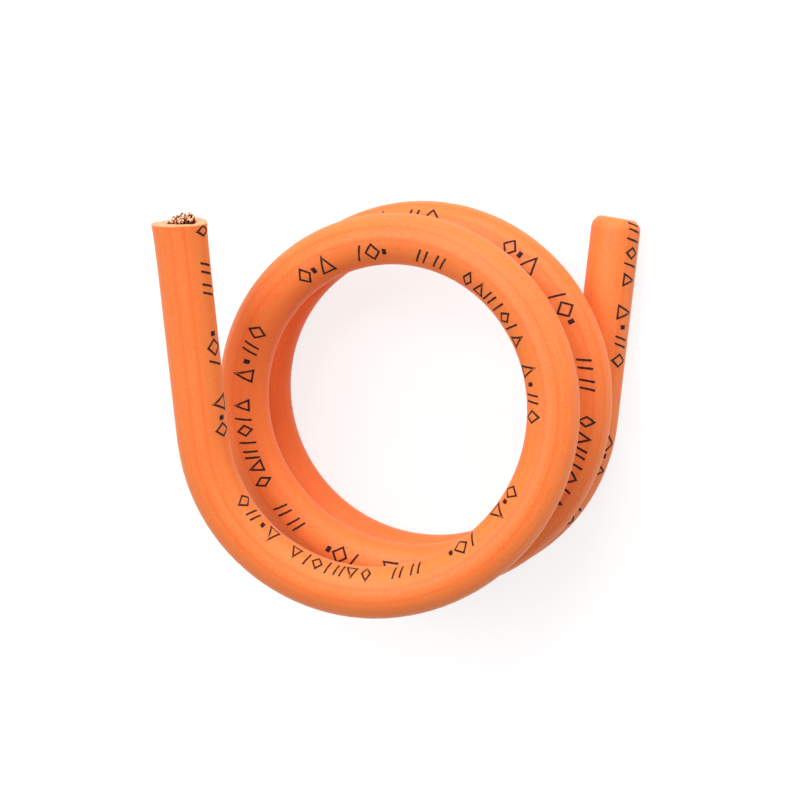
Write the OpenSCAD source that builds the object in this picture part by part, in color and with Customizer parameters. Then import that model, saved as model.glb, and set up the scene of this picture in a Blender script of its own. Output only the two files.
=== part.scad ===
// A length of fusible link wire, wound by hand into two and a half loose turns.
// Thirty-seven copper strands lie in a thick rubber insulation, and both ends are plain cuts.
// The coil lies on a table with its axis near upright: +Z is up, the origin is under its middle.

/* [Wire] */
// Outside diameter of the insulation
wire_d = 5; // [4.2:0.1:7]
// Diameter of one copper strand
strand_d = 0.415; // [0.3:0.005:0.46]
// Rings of strands round the middle one
strand_rings = 3; // [1:1:3]
// Gap between neighbouring strands
strand_gap = 0.01; // [0.01:0.01:0.03]
// Gap between the outermost strands and the bore of the insulation
bore_gap = 0.02; // [0.01:0.01:0.05]

/* [Coil] */
// Mean radius of the bends, to the middle of the wire
coil_r = 17; // [14:0.5:22]
// Quarter bends between the easing bend and the last bend
quarters = 9; // [5:1:9]
// Air between one turn and the next at the upper end
gap_top = 6.9; // [3:0.1:9]
// Air between one turn and the next at the lower end
gap_base = 0.4; // [0.4:0.1:3]
// Radius of the short bend that eases the upper end into the coil
ease_r = 30; // [20:1:40]

/* [Ends] */
// Straight insulation at the upper end
lead_top = 20; // [10:0.5:40]
// Straight insulation at the lower end
lead_base = 20.8; // [10:0.1:40]
// Most that a strand stands out of the insulation at the upper end
tip_top = 0.75; // [0.3:0.05:1.5]
// Most that a strand stands out of the insulation at the lower end
tip_base = 0.05; // [0.05:0.05:0.5]
// Share of its most that the most uneven strand stands out
tip_least = 0.75; // [0.2:0.05:1]
// Share that the cutter's jaws took off the tips on both sides of the ridge, at the upper end
tip_fall = 0.6; // [0:0.05:0.8]
// Rounding of the insulation's rim at the lower end, where the cutter drew it over
rim_r = 0.7; // [0.1:0.05:0.8]

/* [Rest] */
// Lean of the coil about X, as it rests on its lowest turn and its lower end
lean_x = 4.7; // [0:0.1:10]
// Lean of the coil about Y
lean_y = 0.3; // [0:0.1:5]
// Heading of the upper end on the table
heading = 4.3; // [0:0.1:20]

/* [Hidden] */
INSULATION = "orangered";
COPPER = "#d98a5a";
WIRE_FACETS = 64;
STRAND_FACETS = 48;
BEND_FACETS = 120;
// Step between the discs that give the coil its box, in degrees
BOX_STEP = 2;

// Angles of the bends. All have short decimals for their sine and cosine, and so do the rolls
// between them, so that each bend starts just where one ends.
EASE_A = atan2(0.07584, 0.99712);
QUARTER_A = 90;
LAST_A = atan2(0.96, 0.28);
SINE_STEP = 0.00001;
COSINE_STEP = 0.000001;
// Sines that are tried on each side of a roll's own
NEAT_TRIES = 100;

// How far each bend after the easing one strays from the mean radius, as a hand winds it
STRAY = [-1, 0.7, -0.7, -0.3, 0.2, 0.4, 0.3, 0.5, 0.6, -0.3];

last = quarters + 1;
strand_pitch = strand_d + strand_gap;
bore_d = 2 * (strand_rings * strand_pitch + strand_d / 2 + bore_gap);
wall = (wire_d - bore_d) / 2;
rim = min(rim_r, 0.8 * wall);

function bend_r(i) = i == 0 ? ease_r : coil_r + STRAY[(i - 1) % len(STRAY)];
function bend_a(i) = i == 0 ? EASE_A : i < last ? QUARTER_A : LAST_A;

// Fall of the coil over quarter bend i, in even steps from the upper end to the lower
function fall(i) = (wire_d + gap_top + (gap_base - gap_top) * (i - 2) / (last - 2)) / 4;

// Distance of a number from a whole count of steps
function astray(x, step) = abs(x - step * round(x / step));

// A neat angle close to a given one: its sine is a short decimal and its cosine all but one
function neat(a) =
  let (middle = round(sin(a) / SINE_STEP),
    sines = [for (k = [-NEAT_TRIES:NEAT_TRIES]) (middle + k) * SINE_STEP],
    strays = [for (s = sines) astray(sqrt(1 - s * s), COSINE_STEP)])
  asin(sines[search(min(strays), strays)[0]]);

// Rolls of the wire before each bend. A bend and a roll, repeated, make a screw with that fall.
ROLLS = [for (i = [0:last])
  let (half = sin(QUARTER_A / 2), chord = 2 * coil_r * half)
  i < 2 ? 0 : neat(2 * atan(fall(i) * half / sqrt(pow(chord, 2) - pow(fall(i), 2))))];

// Strand places in the wire's section, ring by ring: out to a corner of the ring's hexagon,
// then in steps along its side
function corner(j) = strand_pitch * [cos(60 * j + 30), sin(60 * j + 30)];
PLACES = concat([[0, 0]],
  [for (ring = [1:strand_rings], j = [0:5], step = [0:ring - 1])
    ring * corner(j) + step * corner(j + 2)]);
strands = len(PLACES);

// Uneven cut: steps of the golden section spread the strands' ends between least and most
function uneven(i) = let (turn = i * 0.618) tip_least + (1 - tip_least) * (turn - floor(turn));
// The jaws left a ridge across the tips, which is highest in the middle of the wire
function ridge(i) = 1 - tip_fall * abs(PLACES[i][0]) / (strand_rings * corner(0)[0]);
function run_top(i) = lead_top + tip_top * uneven(i) * ridge(i);
function run_base(i) = lead_base + tip_base * uneven(i);

function strand_name(i) = str("strand_", i < 9 ? "0" : "", i + 1);

// Attitudes turned about each axis, as matrices
function about_x(a) = [[1, 0, 0], [0, cos(a), -sin(a)], [0, sin(a), cos(a)]];
function about_y(a) = [[cos(a), 0, sin(a)], [0, 1, 0], [-sin(a), 0, cos(a)]];
function about_z(a) = [[cos(a), -sin(a), 0], [sin(a), cos(a), 0], [0, 0, 1]];

// Attitude and middle of the wire, an angle into bend i. In that attitude the wire runs along
// -Y and bends towards +X. The bends start at [0, 0, 0], and SEAT puts the coil in its place.
function along(i, a) =
  let (before = i == 0
    ? [about_z(heading) * about_y(lean_y) * about_x(lean_x), [0, 0, 0]]
    : along(i - 1, bend_a(i - 1)),
    attitude = before[0] * about_y(ROLLS[i]),
    arm = [bend_r(i), 0, 0])
  [attitude * about_z(a), before[1] + attitude * (arm - about_z(a) * arm)];

// A disc across the wire as [middle, direction, radius], a run ahead of a place on the path
function disc(at, run, r, off = [0, 0]) =
  [at[1] + at[0] * [-off[0], -run, off[1]], at[0] * [0, -1, 0], r];
START = along(0, 0);
FINISH = along(last, bend_a(last));
DISCS = concat(
  [disc(START, -lead_top, wire_d / 2)],
  [for (i = [0:strands - 1]) disc(START, -run_top(i), strand_d / 2, PLACES[i])],
  [for (i = [0:last]) let (steps = ceil(bend_a(i) / BOX_STEP))
    for (s = [0:steps]) disc(along(i, s * bend_a(i) / steps), 0, wire_d / 2)],
  [disc(FINISH, lead_base - rim, wire_d / 2)],
  [disc(FINISH, lead_base, wire_d / 2 - rim)]);
function reach(d, axis) = d[2] * sqrt(max(0, 1 - pow(d[1][axis], 2)));
function low(axis) = min([for (d = DISCS) d[0][axis] - reach(d, axis)]);
function high(axis) = max([for (d = DISCS) d[0][axis] + reach(d, axis)]);
SEAT = [-(low(0) + high(0)) / 2, -(low(1) + high(1)) / 2, -low(2)];

// A straight run of a section, ahead along -Y. A section's X points away from the bend's axis.
module straight(run) {
  translate([0, -run, 0])
    rotate([90, 0, 180])
      linear_extrude(run)
        children();
}

module bend(i) {
  translate([bend_r(i), 0, 0])
    rotate([0, 0, 180])
      rotate_extrude(angle = bend_a(i), $fn = BEND_FACETS)
        translate([bend_r(i), 0])
          children();
}

// Moves what follows to the end of bend i
module past_bend(i) {
  translate([bend_r(i), 0, 0])
    rotate([0, 0, bend_a(i)])
      translate([-bend_r(i), 0, 0])
        children();
}

// Bend i, all that follows it, and the lower end. Each bend is rolled about the wire, and the
// section is turned back by as much, so that a strand keeps its place in the wire.
module bends_from(i, base) {
  rotate([0, ROLLS[i], 0]) {
    bend(i)
      rotate(-ROLLS[i])
        children();
    past_bend(i)
      if (i < last)
        bends_from(i + 1, base)
          rotate(-ROLLS[i])
            children();
      else
        straight(base)
          rotate(-ROLLS[i])
            children();
  }
}

// The wire's whole path, followed by the section that is given
module follow(top, base) {
  translate([0, top, 0])
    straight(top)
      children();
  bends_from(0, base)
    children();
}

// Places what is given where the straight lower end starts
module at_base(i = 0) {
  rotate([0, ROLLS[i], 0])
    past_bend(i)
      if (i < last)
        at_base(i + 1)
          children();
      else
        children();
}

// Lays the coil down as it comes to rest, over the origin
module rest() {
  translate(SEAT)
    rotate([lean_x, lean_y, heading])
      children();
}

// Half section of the last of the insulation: its wall, with a quarter disc for the rim
module rim_section() {
  translate([bore_d / 2, 0])
    square([wall - rim, rim]);
  intersection() {
    translate([wire_d / 2 - rim, 0])
      circle(r = rim, $fn = WIRE_FACETS);
    translate([wire_d / 2 - rim, 0])
      square(rim);
  }
}

// Extruded rubber tube, cut square at the upper end and drawn over at the lower
module insulation() {
  color(INSULATION)
    rest() {
      follow(lead_top, lead_base - rim)
        difference() {
          circle(d = wire_d, $fn = WIRE_FACETS);
          circle(d = bore_d, $fn = WIRE_FACETS);
        }
      at_base()
        translate([0, -(lead_base - rim), 0])
          rotate([90, 0, 0])
            rotate_extrude($fn = WIRE_FACETS)
              rim_section();
    }
}

// One drawn copper strand, which stands a little out of the insulation at both ends
module strand(i) {
  color(COPPER)
    rest()
      follow(run_top(i), run_base(i))
        translate(PLACES[i])
          circle(d = strand_d, $fn = STRAND_FACETS);
}

insulation();
for (i = [0:strands - 1])
  strand(i);
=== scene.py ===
# Fusible link wire: a foot of stranded copper in thick orange rubber, wound by hand and cut at both ends.
import math

import bmesh
import bpy
from mathutils import Matrix, Vector


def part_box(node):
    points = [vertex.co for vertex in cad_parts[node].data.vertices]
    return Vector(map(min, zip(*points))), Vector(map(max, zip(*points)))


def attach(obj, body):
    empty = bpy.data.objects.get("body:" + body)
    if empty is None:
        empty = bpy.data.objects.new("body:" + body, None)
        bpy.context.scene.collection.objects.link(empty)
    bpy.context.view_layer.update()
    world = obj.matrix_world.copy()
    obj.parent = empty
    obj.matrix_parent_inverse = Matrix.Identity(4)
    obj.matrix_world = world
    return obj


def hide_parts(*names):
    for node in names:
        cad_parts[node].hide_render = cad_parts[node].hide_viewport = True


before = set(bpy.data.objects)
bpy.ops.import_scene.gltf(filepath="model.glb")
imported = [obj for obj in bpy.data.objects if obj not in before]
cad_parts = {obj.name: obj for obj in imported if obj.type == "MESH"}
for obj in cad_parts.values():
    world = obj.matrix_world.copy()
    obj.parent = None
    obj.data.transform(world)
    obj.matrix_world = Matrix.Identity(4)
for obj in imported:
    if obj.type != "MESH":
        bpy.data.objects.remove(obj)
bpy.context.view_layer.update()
MM = 0.001


# The camera. It looks down on the lying coil from above its right side, with a long lens, so
# that the nearer turns are only a little larger than the turn on the table.
CAMERA_AT = Vector((30.16, 23.605, 195.439)) * MM
CAMERA_TURN = (-7.120, 9.556, -0.050)  # degrees about X, Y and Z
LENS = 84.866
SENSOR = 36
CLIP_FROM = 10 * MM
CLIP_TO = 10

camera = bpy.data.objects.new("camera", bpy.data.cameras.new("camera"))
bpy.context.scene.collection.objects.link(camera)
camera.location = CAMERA_AT
camera.rotation_euler = [math.radians(turn) for turn in CAMERA_TURN]
camera.data.lens = LENS
camera.data.sensor_width = SENSOR
camera.data.clip_start = CLIP_FROM
camera.data.clip_end = CLIP_TO
bpy.context.scene.camera = camera


# The route that the wire was wound on, by hand: a straight upper end, an easing bend, nine
# quarter bends and a last one, and a straight lower end. The wire rolls a little before each
# bend, which makes the turns fall, and the whole coil leans on its lowest turn as it rests.
WIRE_R = 2.5 * MM
COIL_R = 17 * MM
EASE_R = 30 * MM
# How far each bend's radius strays from the coil's, in mm
STRAYS = (-1, 0.7, -0.7, -0.3, 0.2, 0.4, 0.3, 0.5, 0.6, -0.3)
QUARTERS = 9
EASE_A = math.atan2(0.07584, 0.99712)
LAST_A = math.atan2(0.96, 0.28)
GAP_TOP = 6.9 * MM
GAP_BASE = 0.4 * MM
LEAD_TOP = 20 * MM
LEAD_BASE = 20.8 * MM
LEAN = (4.7, 0.3, 4.3)  # degrees about X, Y and Z
SINE_STEP = 1e-5
COSINE_STEP = 1e-6
NEAT_TRIES = 100
ROUTE_STEP = 0.5 * MM
SPARE = 2 * MM


def neat(angle):
    """A neat angle close to a given one: its sine is a short decimal and its cosine all but one."""
    middle = round(math.sin(angle) / SINE_STEP)
    sines = [(middle + k) * SINE_STEP for k in range(-NEAT_TRIES, NEAT_TRIES + 1)]
    cosines = [math.sqrt(1 - s * s) for s in sines]
    strays = [abs(c - COSINE_STEP * round(c / COSINE_STEP)) for c in cosines]
    return math.asin(sines[strays.index(min(strays))])


def roll_before(bend):
    """Roll of the wire before a bend, for the coil to fall by the right part of a turn over it."""
    if bend < 2:
        return 0
    share = (bend - 2) / (QUARTERS - 1)
    fall = (2 * WIRE_R + GAP_TOP + (GAP_BASE - GAP_TOP) * share) / 4
    half = math.sin(math.radians(45))
    chord = 2 * COIL_R * half
    return neat(2 * math.atan(fall * half / math.sqrt(chord**2 - fall**2)))


def wound_route():
    """Stations along the wire: how far along, where, and the wire's inward and upward sides there."""
    radii = [EASE_R] + [COIL_R + stray * MM for stray in STRAYS]
    angles = [EASE_A] + [math.radians(90)] * QUARTERS + [LAST_A]
    attitude = Matrix.Identity(3)
    for axis, lean in zip("XYZ", LEAN):
        attitude = Matrix.Rotation(math.radians(lean), 3, axis) @ attitude
    ahead, inward, upward = Vector((0, -1, 0)), Vector((1, 0, 0)), Vector((0, 0, 1))
    place, run, rolled = Vector(), LEAD_TOP, 0

    def station(run, place, attitude):
        unrolled = attitude @ Matrix.Rotation(-rolled, 3, "Y")
        return run, place.copy(), unrolled @ inward, unrolled @ upward

    found = []
    for back in (LEAD_TOP + SPARE, LEAD_TOP, LEAD_TOP / 2):
        found.append(station(LEAD_TOP - back, attitude @ ahead * -back, attitude))
    for bend, (radius, angle) in enumerate(zip(radii, angles)):
        roll = roll_before(bend)
        rolled += roll
        attitude = attitude @ Matrix.Rotation(roll, 3, "Y")
        centre = place + attitude @ inward * radius
        steps = math.ceil(radius * angle / ROUTE_STEP)
        for step in range(steps):
            into = angle * step / steps
            turned = attitude @ Matrix.Rotation(into, 3, "Z")
            found.append(station(run + radius * into, centre - turned @ inward * radius, turned))
        attitude = attitude @ Matrix.Rotation(angle, 3, "Z")
        place = centre - attitude @ inward * radius
        run += radius * angle
    for on in (0, LEAD_BASE / 2, LEAD_BASE, LEAD_BASE + SPARE):
        found.append(station(run + on, place + attitude @ ahead * on, attitude))
    return found


def seated(stations):
    """Moves the stations so that the tube round them lies where the CAD insulation does."""
    middle = [s for s in stations if 0 <= s[0] <= wire_length]
    low = []
    for axis in range(3):
        reach = [WIRE_R * math.sqrt(max(0, 1 - s[2].cross(s[3])[axis] ** 2)) for s in middle]
        low.append(min(s[1][axis] - r for s, r in zip(middle, reach)))
    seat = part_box("insulation")[0] - Vector(low)
    return [(run, place + seat, inward, upward) for run, place, inward, upward in stations]


stations = wound_route()
wire_length = stations[-1][0] - SPARE
stations = seated(stations)

route_mesh = bpy.data.meshes.new("route")
route_mesh.from_pydata([s[1] for s in stations], [(i, i + 1) for i in range(len(stations) - 1)], [])
for name, column in (("inward", 2), ("upward", 3)):
    side = route_mesh.attributes.new(name, "FLOAT_VECTOR", "POINT")
    side.data.foreach_set("vector", [x for s in stations for x in s[column]])
route = bpy.data.objects.new("route", route_mesh)
bpy.context.scene.collection.objects.link(route)


# The insulation: one thick tube of orange rubber, extruded over the strands. The cut at the upper end
# pressed its rim out, left a lip on it and pushed the strands aside. The cut at the lower end is
# askew, and the cutter drew the rim over there.
BORE_R = 1.5025 * MM
BORE_EDGE = 0.1 * MM
BORE_EDGE_SHARE = 0.3
RUBBER_FACETS = 96
RUBBER_STEP = 1 * MM
BORE_STEP = 3 * MM
FACE_STEP = 0.14 * MM
WELD = 0.001 * MM

# The cut at the upper end. What it does to the wire fades over the cut zone.
CUT_ZONE = 1 * MM
CUT_BACK = 0.15 * MM
CUT_TILT = 0.09
CUT_RAGGED = 0.2 * MM
RAGGED_CUT_SCALE = 0.9 / MM
CUT_EDGE = 0.08 * MM
CUT_EDGE_ANGLES = (30, 60, 90)
LIP = 0.36 * MM
LIP_TURN = math.radians(-70)
LIP_NARROWS = 2
FLARE = 0.13 * MM
FLARE_FADES = 1.4 * MM
FLARE_RUNS = (0.2, 0.4, 0.7, 1.1, 1.6, 2.2, 3)
FLARE_ENDS = 4.5 * MM
SQUEEZE = 0.1
PUSHED = 0.25 * MM

# The cut at the lower end
END_TILT = 0.065
END_TURN = math.radians(-65)
DRAWN_RIM = 1.1 * MM
DRAWN_RUN = 1.25 * MM
RIM_STEPS = 12

# Its looks: colours on the screen, how wide and how strong each noise is, and how deep the painted light
# on a cut face reaches. A span is the stretch of a noise's values that it is read from.
RUBBER_PALE = (255, 135, 64)
RUBBER_DEEP = (255, 120, 49)
# Painted light: the paler colour of the cut faces
RUBBER_CUT_PAINTED_LIGHT = (255, 172, 122)
RUBBER_SPECK = (255, 155, 90)
RUBBER_LINE = (250, 106, 40)
RUBBER_SHINE = 0.35
RUBBER_ROUGH = (0.44, 0.54)
RUBBER_GLOWS = (1.0, 0.3, 0.12)
GLOW_SHARE = 0.5
GLOW_DEPTH = 0.7 * MM
NOISE_SPAN = (0.3, 0.7)
WIDE_STREAKS = 1.6
FINE_STREAKS = 7.0
STREAKS_ROUGH = (-0.03, 0.03)
PATCH_SCALE = 0.16 / MM
PATCH_SPAN = (0.4, 0.7)
PATCH_SHARE = 0.3
GRAIN_SCALE = 7 / MM
GRAIN_SHARE = 0.8
GRAIN_DEPTH = 0.03 * MM
GRAIN_STRENGTH = 0.3
SPECK_SPAN = (0.42, 0.66)
SPECK_SHARE = 0.55
CUT_LIGHT_FADES = 0.12 * MM
CUT_LIGHT_FULL = 0.03 * MM
# Faint lines that the die drew along the wire, as shares of the way round it
DIE_LINES = (0.3, 0.735, 0.815)
LINE_WIDE = 0.016
LINE_SHARE = 0.5


def plug(tree, socket, feed):
    """Feeds an input from another node's output, or with a value."""
    if isinstance(feed, bpy.types.NodeSocket):
        tree.links.new(feed, socket)
    else:
        socket.default_value = feed


def add(tree, kind, feeds=None, **settings):
    """A node with its settings, and its inputs fed by name or number, as far as the settings use them."""
    node = tree.nodes.new(kind)
    for name, value in settings.items():
        setattr(node, name, value)
    for key, feed in (feeds or {}).items():
        if isinstance(key, int):
            plug(tree, node.inputs[key], feed)
        else:
            plug(tree, next(s for s in node.inputs if s.name == key and s.enabled), feed)
    return node


def output(node, name):
    """The output of this name that the node's settings leave in use."""
    return next(s for s in node.outputs if s.name == name and s.enabled)


def math_of(tree, operation, *feeds):
    return add(tree, "ShaderNodeMath", dict(enumerate(feeds)), operation=operation).outputs[0]


def vector_math(tree, operation, feeds):
    return add(tree, "ShaderNodeVectorMath", feeds, operation=operation).outputs[0]


def ranged(tree, value, low, high, to_low=0.0, to_high=1.0):
    feeds = {"Value": value, "From Min": low, "From Max": high, "To Min": to_low, "To Max": to_high}
    return output(add(tree, "ShaderNodeMapRange", feeds), "Result")


def combined(tree, x=0.0, y=0.0, z=0.0):
    return add(tree, "ShaderNodeCombineXYZ", {0: x, 1: y, 2: z}).outputs[0]


def moved_to(tree, geometry, place):
    return add(tree, "GeometryNodeSetPosition", {"Geometry": geometry, "Position": place}).outputs[0]


def geometry_tree(name, inputs):
    """An empty tree of geometry nodes with named inputs, what it is given and a way to end it."""
    tree = bpy.data.node_groups.new(name, "GeometryNodeTree")
    tree.interface.new_socket("Geometry", in_out="INPUT", socket_type="NodeSocketGeometry")
    for label, kind in inputs.items():
        tree.interface.new_socket(label, in_out="INPUT", socket_type="NodeSocket" + kind)
    tree.interface.new_socket("Geometry", in_out="OUTPUT", socket_type="NodeSocketGeometry")
    given = tree.nodes.new("NodeGroupInput").outputs
    ending = tree.nodes.new("NodeGroupOutput")
    return tree, given, lambda result: tree.links.new(result, ending.inputs[0])


def winding_tree():
    """Winds straight geometry on the route: X runs along the wire, Y points inward, Z upward."""
    tree, given, end = geometry_tree("wind_on_route", {"Route": "Object"})
    line = output(add(tree, "GeometryNodeObjectInfo", {"Object": given["Route"]}), "Geometry")
    curve = add(tree, "GeometryNodeMeshToCurve", {"Mesh": line}).outputs[0]
    straight = add(tree, "GeometryNodeInputPosition").outputs[0]
    x, y, z = add(tree, "ShaderNodeSeparateXYZ", {0: straight}).outputs
    run = math_of(tree, "ADD", x, SPARE)

    def sampled(side):
        stored = add(tree, "GeometryNodeInputNamedAttribute", {"Name": side}, data_type="FLOAT_VECTOR")
        feeds = {"Curves": curve, "Value": output(stored, "Attribute"), "Length": run}
        return add(tree, "GeometryNodeSampleCurve", feeds, data_type="FLOAT_VECTOR", mode="LENGTH")

    middle = output(sampled("inward"), "Position")
    for side, amount in (("inward", y), ("upward", z)):
        unit = vector_math(tree, "NORMALIZE", {0: output(sampled(side), "Value")})
        offset = vector_math(tree, "SCALE", {0: unit, "Scale": amount})
        middle = vector_math(tree, "ADD", {0: middle, 1: offset})
    end(moved_to(tree, given["Geometry"], middle))
    return tree


def wind(tree, geometry, route_given):
    wound = add(tree, "GeometryNodeGroup", node_tree=winding)
    tree.links.new(geometry, wound.inputs["Geometry"])
    tree.links.new(route_given, wound.inputs["Route"])
    return wound.outputs[0]


def painted(tree, geometry, material):
    """The last two steps of a tree: real geometry, in the piece's material."""
    real = add(tree, "GeometryNodeRealizeInstances", {"Geometry": geometry}).outputs[0]
    feeds = {"Geometry": real, "Material": material}
    return add(tree, "GeometryNodeSetMaterial", feeds).outputs[0]


def drawn_tree():
    """Turns an outline about X, sets it in its place in the wire, shapes the cuts, and winds it.

    A point of the outline holds the run along the wire, the radius, and the way from the cut end.
    """
    floats = ("Cut Tilt", "Cut Turn", "End Tilt", "End Turn", "Cut Ragged", "Lip", "Lip Turn")
    floats += ("Squeeze", "Length", "Wall From", "Wall To")
    kinds = {"Route": "Object", "Facets": "Int", "Material": "Material"}
    kinds.update({"Place": "Vector", "Pushed": "Vector"})
    tree, given, end = geometry_tree("drawn_and_wound", {**kinds, **dict.fromkeys(floats, "Float")})
    outline = given["Geometry"]
    count = output(add(tree, "GeometryNodeAttributeDomainSize", {"Geometry": outline}), "Point Count")
    columns = math_of(tree, "ADD", given["Facets"], 1)
    grid = add(tree, "GeometryNodeMeshGrid", {"Vertices X": count, "Vertices Y": columns}).outputs[0]
    index = add(tree, "GeometryNodeInputIndex").outputs[0]
    row = math_of(tree, "FLOOR", math_of(tree, "DIVIDE", index, columns))
    column = math_of(tree, "MODULO", index, columns)
    point = add(tree, "GeometryNodeInputPosition").outputs[0]
    feeds = {"Geometry": outline, "Value": point, "Index": row}
    sampled = output(add(tree, "GeometryNodeSampleIndex", feeds, data_type="FLOAT_VECTOR"), "Value")
    run, radius, from_cut = add(tree, "ShaderNodeSeparateXYZ", {0: sampled}).outputs
    share = math_of(tree, "DIVIDE", column, given["Facets"])
    angle = math_of(tree, "MULTIPLY", share, -2 * math.pi)
    # Near the upper end the wire is squeezed and pushed aside, the outside of its wall the least.
    into_cut = math_of(tree, "DIVIDE", math_of(tree, "SUBTRACT", CUT_ZONE, run), CUT_ZONE)
    into_cut = math_of(tree, "MAXIMUM", into_cut, 0.0)
    held = ranged(tree, radius, given["Wall From"], given["Wall To"], 1.0, 0.0)
    push = math_of(tree, "MULTIPLY", into_cut, held)
    pushed = vector_math(tree, "SCALE", {0: given["Pushed"], "Scale": push})
    left = math_of(tree, "SUBTRACT", 1.0, math_of(tree, "MULTIPLY", into_cut, given["Squeeze"]))
    placed = vector_math(tree, "SCALE", {0: given["Place"], "Scale": left})
    placed = vector_math(tree, "ADD", {0: placed, 1: pushed})
    side = [math_of(tree, "MULTIPLY", math_of(tree, kind, angle), radius) for kind in ("COSINE", "SINE")]
    # Both cuts lean. The upper one is a little ragged, and a lip stands up on it.
    feeds = {"Vector": combined(tree, 0.0, *side), "Scale": RAGGED_CUT_SCALE}
    noise = output(add(tree, "ShaderNodeTexNoise", feeds), "Fac")
    ragged = math_of(tree, "MULTIPLY", math_of(tree, "SUBTRACT", noise, 0.5), given["Cut Ragged"])
    at_cut = ranged(tree, run, CUT_ZONE, 0.0)
    from_end = math_of(tree, "SUBTRACT", given["Length"], run)
    at_end = ranged(tree, from_end, CUT_ZONE, 0.0)

    def towards(turn):
        return math_of(tree, "COSINE", math_of(tree, "SUBTRACT", angle, turn))

    shift = math_of(tree, "MULTIPLY", at_cut, ragged)
    for name, ramp in (("Cut", at_cut), ("End", at_end)):
        slope = math_of(tree, "MULTIPLY", towards(given[name + " Turn"]), given[name + " Tilt"])
        lean = math_of(tree, "MULTIPLY", math_of(tree, "MULTIPLY", slope, radius), ramp)
        shift = math_of(tree, "ADD", shift, lean)
    near_lip = math_of(tree, "MAXIMUM", towards(given["Lip Turn"]), 0.0)
    near_lip = math_of(tree, "POWER", near_lip, LIP_NARROWS)
    lip = math_of(tree, "MULTIPLY", math_of(tree, "MULTIPLY", near_lip, given["Lip"]), at_cut)
    shift = math_of(tree, "SUBTRACT", shift, lip)
    turned = combined(tree, math_of(tree, "ADD", run, shift), *side)
    shaped = moved_to(tree, grid, vector_math(tree, "ADD", {0: turned, 1: placed}))
    # The piece's own map holds girths along the wire and the share of the way round. It is worked out
    # at the points and kept at the corners, so that it doesn't close on itself at the seam.
    chart = combined(tree, math_of(tree, "DIVIDE", run, 2 * math.pi * WIRE_R), share)
    at_points = {"data_type": "FLOAT_VECTOR", "domain": "POINT"}
    chart = output(add(tree, "GeometryNodeFieldOnDomain", {"Value": chart}, **at_points), "Value")
    stored = shaped
    for name, value, kind, domain in (
        ("wire_map", chart, "FLOAT2", "CORNER"),
        ("from_cut", from_cut, "FLOAT", "POINT"),
    ):
        feeds = {"Geometry": stored, "Name": name, "Value": value}
        settings = {"data_type": kind, "domain": domain}
        stored = add(tree, "GeometryNodeStoreNamedAttribute", feeds, **settings).outputs[0]
    wound = wind(tree, stored, given["Route"])
    closed = add(tree, "GeometryNodeMergeByDistance", {"Geometry": wound, "Distance": WELD}).outputs[0]
    feeds = {"Geometry": closed, "Shade Smooth": True}
    smooth = add(tree, "GeometryNodeSetShadeSmooth", feeds).outputs[0]
    end(painted(tree, smooth, given["Material"]))
    return tree


def grown(name, base_mesh, tree, values):
    """The plain mesh that a tree of geometry nodes makes of a base mesh, as a piece on the root body."""
    base = bpy.data.objects.new(name + "_base", base_mesh)
    bpy.context.scene.collection.objects.link(base)
    maker = base.modifiers.new("maker", "NODES")
    maker.node_group = tree
    sockets = {s.name: s.identifier for s in tree.interface.items_tree if s.in_out == "INPUT"}
    for label, value in values.items():
        maker[sockets[label]] = value
    bpy.context.view_layer.update()
    evaluated = base.evaluated_get(bpy.context.evaluated_depsgraph_get())
    mesh = bpy.data.meshes.new_from_object(evaluated)
    bpy.data.objects.remove(base)
    piece = bpy.data.objects.new(name, mesh)
    bpy.context.scene.collection.objects.link(piece)
    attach(piece, "root")
    return piece


def outline_mesh(name, points, first, last):
    """An outline as a line of points: the run along the wire, the radius, and the way from the cut."""
    mesh = bpy.data.meshes.new(name)
    places = [(run, radius, min(run - first, last - run)) for run, radius in points]
    mesh.from_pydata(places, [(i, i + 1) for i in range(len(points) - 1)], [])
    return mesh


def steps_between(low, high, step):
    """Even places from one end to the other, with both ends, about a step apart."""
    count = max(1, round(abs(high - low) / step))
    return [low + (high - low) * i / count for i in range(count + 1)]


def insulation_outline():
    """Half section of the tube: the upper face, the wall, the drawn rim, the lower face and the bore."""
    bore = BORE_R * (1 - SQUEEZE)
    rim = WIRE_R + FLARE
    broken = BORE_EDGE_SHARE * BORE_EDGE
    points = [(CUT_BACK + BORE_EDGE, bore), (CUT_BACK + broken, bore + broken)]
    points += [(CUT_BACK, r) for r in steps_between(bore + BORE_EDGE, rim - CUT_EDGE, FACE_STEP)]
    for angle in CUT_EDGE_ANGLES:
        turn = math.radians(angle)
        in_radius = rim - CUT_EDGE * (1 - math.sin(turn))
        points.append((CUT_BACK + CUT_EDGE * (1 - math.cos(turn)), in_radius))
    for run in FLARE_RUNS:
        points.append((CUT_BACK + run * MM, WIRE_R + FLARE * math.exp(-run * MM / FLARE_FADES)))
    points += [(x, WIRE_R) for x in steps_between(FLARE_ENDS, wire_length - DRAWN_RUN, RUBBER_STEP)]
    to_bore = math.acos(1 - (WIRE_R - BORE_R - BORE_EDGE) / DRAWN_RIM)
    for i in range(1, RIM_STEPS + 1):
        turn = to_bore * i / RIM_STEPS
        run = wire_length - DRAWN_RUN * (1 - math.sin(turn))
        points.append((run, WIRE_R - DRAWN_RIM * (1 - math.cos(turn))))
    points += [(x, BORE_R) for x in steps_between(run - BORE_EDGE, CUT_ZONE, BORE_STEP)]
    return points + [points[0]]


def linear(red, green, blue):
    """A colour from its screen values, 0 to 255, in the linear light that shaders take."""
    shares = [c / 255 for c in (red, green, blue)]
    return [s / 12.92 if s <= 0.04045 else ((s + 0.055) / 1.055) ** 2.4 for s in shares] + [1]


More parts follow.
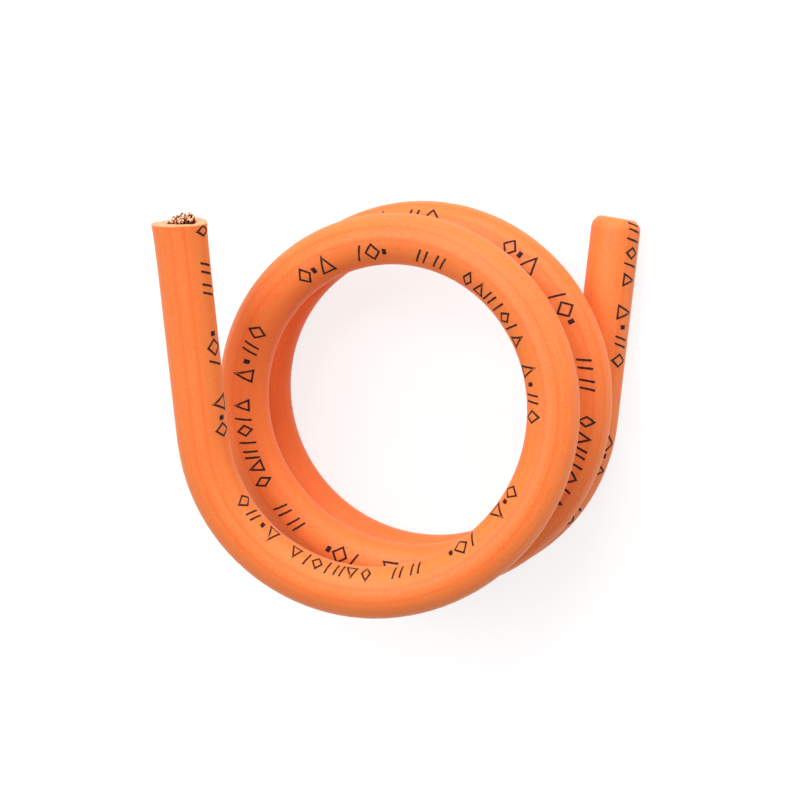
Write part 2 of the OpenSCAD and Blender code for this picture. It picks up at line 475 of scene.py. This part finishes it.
def shaded(material, sockets):
    """Clears a material to one principled shader, with plain values on its sockets."""
    material.use_nodes = True
    tree = material.node_tree
    tree.nodes.clear()
    shader = add(tree, "ShaderNodeBsdfPrincipled", sockets)
    add(tree, "ShaderNodeOutputMaterial", {"Surface": shader.outputs[0]})
    return tree, shader.inputs


def blended(tree, share, low, high):
    feeds = {"Factor": share, "A": low, "B": high}
    return output(add(tree, "ShaderNodeMix", feeds, data_type="RGBA"), "Result")


def noise_of(tree, vector, scale, detail):
    feeds = {"Vector": vector, "Scale": scale, "Detail": detail}
    return output(add(tree, "ShaderNodeTexNoise", feeds), "Fac")


def mixed(tree, one, other, share):
    """A value between two others, with the given share of the second."""
    first = math_of(tree, "MULTIPLY", one, 1 - share)
    return math_of(tree, "ADD", first, math_of(tree, "MULTIPLY", other, share))


def shade_rubber(material):
    """Satin rubber: faint streaks along the wire from the die, a fine grain, and painted light on the cut
    faces.
    """
    looks = {"Specular IOR Level": RUBBER_SHINE, "Subsurface Weight": GLOW_SHARE}
    looks.update({"Subsurface Radius": RUBBER_GLOWS, "Subsurface Scale": GLOW_DEPTH})
    tree, into = shaded(material, looks)
    chart = add(tree, "ShaderNodeUVMap", uv_map="wire_map").outputs[0]
    around = add(tree, "ShaderNodeSeparateXYZ", {0: chart}).outputs[1]
    angle = math_of(tree, "MULTIPLY", around, 2 * math.pi)
    ring = combined(tree, *[math_of(tree, kind, angle) for kind in ("COSINE", "SINE")])
    wide = noise_of(tree, ring, WIDE_STREAKS, detail=0.0)
    fine = noise_of(tree, ring, FINE_STREAKS, detail=0.0)
    place = output(add(tree, "ShaderNodeTexCoord"), "Object")
    grain = noise_of(tree, place, GRAIN_SCALE, detail=2.0)
    patch = noise_of(tree, place, PATCH_SCALE, detail=2.0)
    tone = mixed(tree, wide, fine, 0.5)
    colour = blended(tree, ranged(tree, tone, *NOISE_SPAN), linear(*RUBBER_DEEP), linear(*RUBBER_PALE))
    patches = ranged(tree, patch, *PATCH_SPAN, 0.0, PATCH_SHARE)
    colour = blended(tree, patches, colour, linear(*RUBBER_PALE))
    specks = ranged(tree, grain, *SPECK_SPAN, 0.0, SPECK_SHARE)
    colour = blended(tree, specks, colour, linear(*RUBBER_SPECK))
    for line in DIE_LINES:
        aside = math_of(tree, "ABSOLUTE", math_of(tree, "SUBTRACT", around, line))
        drawn_line = ranged(tree, aside, LINE_WIDE, 0.0, 0.0, LINE_SHARE)
        colour = blended(tree, drawn_line, colour, linear(*RUBBER_LINE))
    from_cut = output(add(tree, "ShaderNodeAttribute", attribute_name="from_cut"), "Fac")
    # Painted light: the rubber is painted paler at the cut faces
    cut_lit = ranged(tree, from_cut, CUT_LIGHT_FADES, CUT_LIGHT_FULL)
    plug(tree, into["Base Color"], blended(tree, cut_lit, colour, linear(*RUBBER_CUT_PAINTED_LIGHT)))
    satin = ranged(tree, grain, *NOISE_SPAN, *RUBBER_ROUGH)
    streaked = ranged(tree, fine, *NOISE_SPAN, *STREAKS_ROUGH)
    plug(tree, into["Roughness"], math_of(tree, "ADD", satin, streaked))
    relief = mixed(tree, fine, grain, GRAIN_SHARE)
    feeds = {"Height": relief, "Strength": GRAIN_STRENGTH, "Distance": GRAIN_DEPTH}
    plug(tree, into["Normal"], add(tree, "ShaderNodeBump", feeds).outputs[0])


winding = winding_tree()
drawn = drawn_tree()
rubber = bpy.data.materials.new("orange_rubber")
shade_rubber(rubber)
insulation = grown(
    "insulation_skin",
    outline_mesh("insulation_outline", insulation_outline(), CUT_BACK, wire_length),
    drawn,
    {
        "Route": route,
        "Facets": RUBBER_FACETS,
        "Material": rubber,
        "Pushed": (0, PUSHED, 0),
        "Cut Tilt": CUT_TILT,
        "End Tilt": END_TILT,
        "End Turn": END_TURN,
        "Cut Ragged": CUT_RAGGED,
        "Lip": LIP,
        "Lip Turn": LIP_TURN,
        "Length": wire_length,
        "Wall From": BORE_R,
        "Wall To": WIRE_R,
    },
)
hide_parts("insulation")


# The strands: thirty-seven soft copper wires, drawn fine, which lie side by side in hexagonal rings
# inside the bore. The cutter's jaws left a ridge across their bright tips at the upper end.
STRAND_R = 0.2075 * MM
STRAND_PITCH = 0.425 * MM
STRAND_RINGS = 3
STRAND_FACETS = 12
STRAND_STEP = 1.7 * MM
TIP_TOP = 0.76 * MM
TIP_SUNK = 0.2 * MM
TIP_LEAST = 0.72
TIP_FALL = 0.08
TIP_NEAR = 0.5 * MM
RIDGE_OFF = 0.1 * MM
TIP_TURN = math.radians(90)
TIP_SLOPE = 0.7
SLOPE_VARIES = 0.5
SPRUNG = 0.08 * MM
GOLDEN = 0.618
# A nipped tip: how far from its end, in mm, and which share of the strand's radius it has there
NIPPED = ((0, 0), (0, 0.52), (0.03, 0.7), (0.1, 0.84), (0.3, 1))
SQUEEZED_RUNS = (0.4, 0.6, 0.9, 1.2)
EVEN_FROM = 2 * MM
EVEN_TO = 1 * MM
# How fast three angles turn, in radians from strand to strand, to scatter their springs and slopes
SPRUNG_TURNS = (2.4, 3.7)
TIP_TURNS = 1.9
# The pale colour of the cut tips: partly the cut copper, partly painted highlight
COPPER_BARED_AND_HIGHLIGHT = (252, 222, 188)
COPPER_BRIGHT = (226, 142, 96)
# Painted shade: the copper's colour down between the strands
COPPER_PAINTED_SHADE = (104, 40, 22)
COPPER_ROUGH = (0.3, 0.5)
MARKS_STRETCH = (2, 12, 0)
MARKS_SCALE = 3.0
MARKS_DEPTH = 0.01 * MM
MARKS_STRENGTH = 0.4
# The painted shade down between the strands begins and ends at these depths from the cut, which a noise
# shifts
JITTER_SCALE = 3 / MM
JITTER_SPAN = (0.38, 0.66)
JITTER_SHIFT = (-0.08 * MM, 0.2 * MM)
PAINTED_SHADE_AT = (0.06 * MM, 0.26 * MM)
BARED_AND_HIGHLIGHT_AT = (0.07 * MM, 0.02 * MM)


def corner(j):
    """One of the six corners of the first ring."""
    angle = math.radians(60 * j + 30)
    return STRAND_PITCH * Vector((math.cos(angle), math.sin(angle)))


def strand_places():
    """Places in the wire's section, ring by ring, as (outward, upward)."""
    places = [Vector((0, 0))]
    for ring in range(1, STRAND_RINGS + 1):
        for j in range(6):
            places += [ring * corner(j) + step * corner(j + 2) for step in range(ring)]
    return places


def uneven(i):
    """Share of its most that a strand stands out, in steps of the golden section."""
    return TIP_LEAST + (1 - TIP_LEAST) * math.fmod(i * GOLDEN, 1)


def tip_run(i, outward, upward):
    """How far a strand stands out: most on the ridge, and less on the side that was cut first."""
    half = STRAND_RINGS * corner(0).x
    ridge = 1 - TIP_FALL * abs(outward + RIDGE_OFF) / half
    return TIP_TOP * uneven(i) * ridge - TIP_NEAR * (upward + half) / (2 * half)


def strand_outline(first, last):
    """Half section of a strand: a nipped tip, the drawn wire, squeezed near the cut, and another tip."""
    points = [(first + x * MM, r * STRAND_R) for x, r in NIPPED]
    points += [(first + x * MM, STRAND_R) for x in SQUEEZED_RUNS]
    points = [(x, r * (1 - SQUEEZE * max(0, CUT_ZONE - x) / CUT_ZONE)) for x, r in points]
    points += [(x, STRAND_R) for x in steps_between(first + EVEN_FROM, last - EVEN_TO, STRAND_STEP)]
    return points + [(last - x * MM, r * STRAND_R) for x, r in reversed(NIPPED)]


def shade_copper(material):
    """Drawn copper: pale where the cutter opened it, partly as painted highlight, and painted shade down
    between the strands.
    """
    tree, into = shaded(material, {"Metallic": 1.0})
    place = output(add(tree, "ShaderNodeTexCoord"), "Object")
    chart = add(tree, "ShaderNodeUVMap", uv_map="wire_map").outputs[0]
    drawn_marks = vector_math(tree, "MULTIPLY", {0: chart, 1: MARKS_STRETCH})
    streak = noise_of(tree, drawn_marks, MARKS_SCALE, detail=3.0)
    jitter = noise_of(tree, place, JITTER_SCALE, detail=1.0)
    from_cut = output(add(tree, "ShaderNodeAttribute", attribute_name="from_cut"), "Fac")
    depth = math_of(tree, "ADD", from_cut, ranged(tree, jitter, *JITTER_SPAN, *JITTER_SHIFT))
    # Painted shade: the copper turns dark deeper down between the strands
    painted_shade = ranged(tree, depth, *PAINTED_SHADE_AT)
    colour = blended(tree, painted_shade, linear(*COPPER_BRIGHT), linear(*COPPER_PAINTED_SHADE))
    # Paler tips at the cut: partly the cut copper, partly painted highlight
    bared_and_glint = ranged(tree, depth, *BARED_AND_HIGHLIGHT_AT)
    plug(tree, into["Base Color"], blended(tree, bared_and_glint, colour, linear(*COPPER_BARED_AND_HIGHLIGHT)))
    plug(tree, into["Roughness"], ranged(tree, streak, *NOISE_SPAN, *COPPER_ROUGH))
    feeds = {"Height": streak, "Strength": MARKS_STRENGTH, "Distance": MARKS_DEPTH}
    plug(tree, into["Normal"], add(tree, "ShaderNodeBump", feeds).outputs[0])


copper = bpy.data.materials.new("cut_copper")
shade_copper(copper)
for i, (outward, upward) in enumerate(strand_places()):
    first = -tip_run(i, outward, upward)
    askew = END_TILT * (upward * math.sin(END_TURN) - outward * math.cos(END_TURN))
    last = wire_length - TIP_SUNK * uneven(i) + askew
    sprung = SPRUNG * Vector((math.sin(SPRUNG_TURNS[0] * i), math.cos(SPRUNG_TURNS[1] * i)))
    strand = grown(
        f"copper_{i + 1:02d}",
        outline_mesh(f"strand_outline_{i + 1:02d}", strand_outline(first, last), first, last),
        drawn,
        {
            "Route": route,
            "Facets": STRAND_FACETS,
            "Material": copper,
            "Place": (0, -outward, upward),
            "Pushed": (0, PUSHED + sprung.x, sprung.y),
            "Squeeze": SQUEEZE,
            "Cut Tilt": TIP_SLOPE * (1 + SLOPE_VARIES * math.sin(SPRUNG_TURNS[0] * i)),
            "Cut Turn": TIP_TURN + math.sin(TIP_TURNS * i),
            "Length": wire_length,
            "Wall From": BORE_R,
            "Wall To": WIRE_R,
        },
    )
    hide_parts(f"strand_{i + 1:02d}")


# The print: black ink, laid on the rubber by a wheel, so that it repeats along the wire and drifts
# slowly round it. It is a row of plain shapes: diamonds, triangles, ticks, hatches and squares.
PRINT_PERIOD = 43.9 * MM
PRINT_REPEATS = 8
PRINT_FROM = 0.3 * MM
PRINT_SHORT = 0.15 * MM
PRINT_ANGLE = math.radians(162)
PRINT_DRIFT = math.radians(-0.205) / MM
INK_BITE = 0.012 * MM
INK_STANDS = 0.014 * MM
STROKE = 0.2 * MM
STROKE_STEP = 0.16 * MM
RAGGED = 0.022 * MM
RAGGED_SCALE = 3.2 / MM
HATCH_SLANT = 1 / 3
HATCH_APART = 0.6
INK_BLACK = (42, 26, 34)
INK_THIN = (86, 40, 34)
INK_SHINE = 0.15
INK_ROUGH = (0.5, 0.7)
BLOT_SCALE = 5 / MM
BLOT_SPAN = (0.4, 0.8)
# The rows that fill a square, in mm, far enough apart to keep a hair of air between them
SQUARE_ROWS = (-0.204, 0, 0.204)
# One repeat: each shape's place on the wheel, its kind, and its size along the wire and round it, in mm
LEGEND = (
    (44.85, "diamond", 0.95, 1.6),
    (43.2, "triangle", 1.15, 1.3),
    (41.8, "hatch", 1.1, 1.5),
    (40.5, "tick", 0.35, 1.7),
    (39.2, "diamond", 1.1, 1.4),
    (38.0, "tick", 0.35, 1.7),
    (36.5, "triangle", 1.15, 1.3),
    (33.2, "triangle", 1.3, 1.7),
    (31.7, "square", 0.45, 0.6),
    (30.2, "hatch", 1.2, 1.6),
    (28.3, "diamond", 1.25, 1.7),
    (20.0, "diamond", 1.3, 1.7),
    (18.8, "square", 0.45, 0.6),
    (17.4, "triangle", 1.5, 1.7),
    (13.5, "tick", 0.6, 1.7),
    (12.0, "diamond", 1.5, 1.7),
    (10.7, "square", 0.45, 0.6),
    (6.5, "hatch", 1.3, 1.5),
    (4.5, "hatch", 1.3, 1.5),
)


def stroke_lines(shape, wide, tall):
    """The lines of one shape, round its own middle, and whether each closes on itself."""
    right, top = wide / 2, tall / 2
    if shape == "diamond":
        return [([(right, 0), (0, top), (-right, 0), (0, -top)], True)]
    if shape == "triangle":
        return [([(right, -top), (0, top), (-right, -top)], True)]
    if shape == "tick":
        return [([(-right, -top), (right, top)], False)]
    if shape == "hatch":
        slant = HATCH_SLANT * right
        middles = (-HATCH_APART * right, HATCH_APART * right)
        return [([(x - slant, -top), (x + slant, top)], False) for x in middles]
    return [([(-right, y), (right, y)], False) for y in SQUARE_ROWS]


def stepped(a, b):
    """Points from a up to b, without b, close enough for the stroke to follow the wire's round."""
    count = max(1, round((b - a).length / STROKE_STEP))
    return [a.lerp(b, i / count) for i in range(count)]


def mitred(points, closed, half):
    """The line through the points, moved half a stroke to its left, with mitred corners."""
    moved = []
    for i, point in enumerate(points):
        before = points[i - 1] if closed or i else None
        after = points[(i + 1) % len(points)] if closed or i + 1 < len(points) else None
        sides = []
        for a, b in ((before, point), (point, after)):
            if a is not None and b is not None:
                along = (b - a).normalized()
                sides.append(Vector((-along.y, along.x)))
        middle = (sides[0] + sides[-1]) / 2
        moved.append(point + middle * half / middle.length_squared)
    return moved


def add_stroke(bm, points, closed):
    """One stroke of ink as a closed slab: two edges of the line, top and bottom, with sides between."""
    left = mitred(points, closed, STROKE / 2)
    right = mitred(points, closed, -STROKE / 2)
    rows = []
    spans = len(points) if closed else len(points) - 1
    for i in range(spans):
        j = (i + 1) % len(points)
        a = stepped(left[i], left[j])
        b = [right[i].lerp(right[j], k / len(a)) for k in range(len(a))]
        rows += list(zip(a, b))
    if not closed:
        rows.append((left[-1], right[-1]))
    rings = []
    for a, b in rows:
        corners = ((a, INK_STANDS), (b, INK_STANDS), (b, -INK_BITE), (a, -INK_BITE))
        rings.append([bm.verts.new((place.x, place.y, height)) for place, height in corners])
    pairs = list(zip(rings, rings[1:]))
    if closed:
        pairs.append((rings[-1], rings[0]))
    for a, b in pairs:
        for k in range(4):
            bm.faces.new((a[k], a[(k + 1) % 4], b[(k + 1) % 4], b[k]))
    if not closed:
        bm.faces.new(rings[0][::-1])
        bm.faces.new(rings[-1])


def legend_mesh():
    """One repeat of the legend, flat: X is the run along the wire, Y is round it."""
    bm = bmesh.new()
    for place, shape, wide, tall in LEGEND:
        for line, closed in stroke_lines(shape, wide, tall):
            points = [Vector((place * MM - x * MM, -y * MM)) for x, y in line]
            add_stroke(bm, points, closed)
    bmesh.ops.recalc_face_normals(bm, faces=bm.faces)
    mesh = bpy.data.meshes.new("legend")
    bm.to_mesh(mesh)
    bm.free()
    return mesh


def printing_tree():
    """Repeats a flat legend along the wire, drops what the cuts took, wraps the rest and winds it."""
    floats = ("Period", "Angle", "Drift", "Radius", "From", "To", "Ragged")
    floats += ("Cut Back", "Flare", "Flare Fades")
    floats += ("Length", "Drawn Run", "Drawn Rim", "End Tilt", "End Turn")
    kinds = {"Route": "Object", "Repeats": "Int", "Material": "Material"}
    tree, given, end = geometry_tree("printed_and_wound", {**kinds, **dict.fromkeys(floats, "Float")})
    start = combined(tree, math_of(tree, "MULTIPLY", given["Period"], -1.0))
    row = {"Count": given["Repeats"], "Start Location": start, "Offset": combined(tree, given["Period"])}
    line = add(tree, "GeometryNodeMeshLine", row).outputs[0]
    copied = {"Points": line, "Instance": given["Geometry"]}
    each = add(tree, "GeometryNodeInstanceOnPoints", copied).outputs[0]
    real = add(tree, "GeometryNodeRealizeInstances", {"Geometry": each}).outputs[0]
    # A shape that reaches past either cut goes as a whole.
    place = add(tree, "GeometryNodeInputPosition").outputs[0]
    x, y, z = add(tree, "ShaderNodeSeparateXYZ", {0: place}).outputs
    before = math_of(tree, "LESS_THAN", x, given["From"])
    cut_off = math_of(tree, "ADD", before, math_of(tree, "GREATER_THAN", x, given["To"]))
    island = output(add(tree, "GeometryNodeInputMeshIsland"), "Island Index")
    counted = {"Value": cut_off, "Group ID": island}
    total = output(add(tree, "GeometryNodeAccumulateField", counted, data_type="FLOAT"), "Total")
    gone = math_of(tree, "GREATER_THAN", total, 0.5)
    taken = {"Geometry": real, "Selection": gone}
    kept = add(tree, "GeometryNodeDeleteGeometry", taken, domain="POINT").outputs[0]
    # The ink's edges are a little ragged. The noise reads the place on the flat legend only. It strays
    # by a quarter either way, which four times over makes the most that is given.
    feeds = {"Vector": combined(tree, x, y), "Scale": RAGGED_SCALE, "Detail": 1.0}
    noise = add(tree, "ShaderNodeTexNoise", feeds)
    centred = vector_math(tree, "SUBTRACT", {0: output(noise, "Color"), 1: (0.5, 0.5, 0.5)})
    spread = math_of(tree, "MULTIPLY", given["Ragged"], 4.0)
    shift = vector_math(tree, "SCALE", {0: centred, "Scale": spread})
    shift_x, shift_y, _ = add(tree, "ShaderNodeSeparateXYZ", {0: shift}).outputs
    run = math_of(tree, "ADD", x, shift_x)
    around = math_of(tree, "DIVIDE", math_of(tree, "ADD", y, shift_y), given["Radius"])
    drift = math_of(tree, "MULTIPLY", run, given["Drift"])
    angle = math_of(tree, "ADD", math_of(tree, "ADD", given["Angle"], drift), around)
    # The rubber stands out where it was cut and draws in at the other end, and the ink with it.
    faded = math_of(tree, "SUBTRACT", given["Cut Back"], run)
    faded = math_of(tree, "DIVIDE", faded, given["Flare Fades"])
    flare = math_of(tree, "MULTIPLY", math_of(tree, "EXPONENT", faded), given["Flare"])
    drawn_from = math_of(tree, "SUBTRACT", given["Length"], given["Drawn Run"])
    past = math_of(tree, "MAXIMUM", math_of(tree, "SUBTRACT", run, drawn_from), 0.0)
    bent = math_of(tree, "ARCSINE", math_of(tree, "DIVIDE", past, given["Drawn Run"]))
    drawn_in = math_of(tree, "SUBTRACT", 1.0, math_of(tree, "COSINE", bent))
    drawn_in = math_of(tree, "MULTIPLY", drawn_in, given["Drawn Rim"])
    radius = math_of(tree, "ADD", math_of(tree, "ADD", given["Radius"], z), flare)
    radius = math_of(tree, "SUBTRACT", radius, drawn_in)
    outward = math_of(tree, "MULTIPLY", math_of(tree, "COSINE", angle), radius)
    upward = math_of(tree, "MULTIPLY", math_of(tree, "SINE", angle), radius)
    at_end = ranged(tree, math_of(tree, "SUBTRACT", given["Length"], run), CUT_ZONE, 0.0)
    aside = math_of(tree, "SUBTRACT", math_of(tree, "SUBTRACT", math.pi, angle), given["End Turn"])
    lean = math_of(tree, "MULTIPLY", math_of(tree, "COSINE", aside), given["End Tilt"])
    lean = math_of(tree, "MULTIPLY", math_of(tree, "MULTIPLY", lean, radius), at_end)
    run = math_of(tree, "ADD", run, lean)
    wrapped = combined(tree, run, math_of(tree, "MULTIPLY", outward, -1.0), upward)
    wound = wind(tree, moved_to(tree, kept, wrapped), given["Route"])
    end(painted(tree, wound, given["Material"]))
    return tree


def shade_ink(material):
    """Black ink, thin enough in places to let the rubber warm it."""
    tree, into = shaded(material, {"Specular IOR Level": INK_SHINE})
    place = output(add(tree, "ShaderNodeTexCoord"), "Object")
    blot = noise_of(tree, place, BLOT_SCALE, detail=2.0)
    colour = blended(tree, ranged(tree, blot, *BLOT_SPAN), linear(*INK_BLACK), linear(*INK_THIN))
    plug(tree, into["Base Color"], colour)
    plug(tree, into["Roughness"], ranged(tree, blot, *NOISE_SPAN, *INK_ROUGH))


ink = bpy.data.materials.new("black_ink")
shade_ink(ink)
marks = grown(
    "printed_marks",
    legend_mesh(),
    printing_tree(),
    {
        "Route": route,
        "Repeats": PRINT_REPEATS,
        "Material": ink,
        "Ragged": RAGGED,
        "Period": PRINT_PERIOD,
        "Angle": PRINT_ANGLE,
        "Drift": PRINT_DRIFT,
        "Radius": WIRE_R,
        "From": PRINT_FROM,
        "To": wire_length - PRINT_SHORT,
        "Length": wire_length,
        "Drawn Run": DRAWN_RUN,
        "Drawn Rim": DRAWN_RIM,
        "End Tilt": END_TILT,
        "End Turn": END_TURN,
        "Cut Back": CUT_BACK,
        "Flare": FLARE,
        "Flare Fades": FLARE_FADES,
    },
)


# The studio: a white table in a white room, with a large soft light high at the upper left and two
# lower ones behind the coil, as seen in the picture. Each light's direction and irradiance are given.
FLOOR_HALF = 1.5
# The table is plain white paper to the light. To the eye it glows, so that it is just white and
# keeps a faint shadow.
FLOOR_WHITE = 0.86
FLOOR_SEEN = 0.25
FLOOR_GLOW = 0.8
ROOM_LIGHT = 0.35
SOFT = math.radians(32)
LIGHTS = {
    "high": ((-0.36, 0.32, 0.88), 1.55),
    "behind": ((0.0, 0.82, 0.57), 1.5),
    "right": ((0.66, 0.62, 0.42), 0.7),
}

floor_mesh = bpy.data.meshes.new("table")
corners = [(x * FLOOR_HALF, y * FLOOR_HALF, 0) for x, y in ((-1, -1), (1, -1), (1, 1), (-1, 1))]
floor_mesh.from_pydata(corners, [], [(0, 1, 2, 3)])
table = bpy.data.objects.new("table", floor_mesh)
bpy.context.scene.collection.objects.link(table)


def seen_through(tree, *kinds):
    """One for rays of the given kinds and nought for those that light the object."""
    rays = add(tree, "ShaderNodeLightPath")
    seen = output(rays, kinds[0])
    for kind in kinds[1:]:
        seen = math_of(tree, "MAXIMUM", seen, output(rays, kind))
    return seen


white = bpy.data.materials.new("white_table")
white.use_nodes = True
tree = white.node_tree
tree.nodes.clear()
seen = seen_through(tree, "Is Camera Ray", "Is Glossy Ray", "Is Transmission Ray")
grey = ranged(tree, seen, 0.0, 1.0, FLOOR_WHITE, FLOOR_SEEN)
paper = add(tree, "ShaderNodeBsdfDiffuse", {"Color": combined(tree, grey, grey, grey)}).outputs[0]
strength = math_of(tree, "MULTIPLY", seen, FLOOR_GLOW)
glow = add(tree, "ShaderNodeEmission", {"Strength": strength}).outputs[0]
both = add(tree, "ShaderNodeAddShader", {0: paper, 1: glow}).outputs[0]
add(tree, "ShaderNodeOutputMaterial", {"Surface": both})
floor_mesh.materials.append(white)

world = bpy.data.worlds.new("white_room")
bpy.context.scene.world = world
world.use_nodes = True
tree = world.node_tree
tree.nodes.clear()
seen = seen_through(tree, "Is Camera Ray", "Is Transmission Ray")
strength = ranged(tree, seen, 0.0, 1.0, ROOM_LIGHT, 1.0)
room = add(tree, "ShaderNodeBackground", {"Color": (1, 1, 1, 1), "Strength": strength}).outputs[0]
add(tree, "ShaderNodeOutputWorld", {"Surface": room})

for name, (towards, irradiance) in LIGHTS.items():
    light = bpy.data.objects.new(name, bpy.data.lights.new(name, "SUN"))
    light.data.energy = irradiance
    light.data.angle = SOFT
    light.rotation_euler = Vector(towards).to_track_quat("Z", "Y").to_euler()
    bpy.context.scene.collection.objects.link(light)

bpy.data.objects.remove(route)
bpy.context.scene.view_settings.view_transform = "Standard"
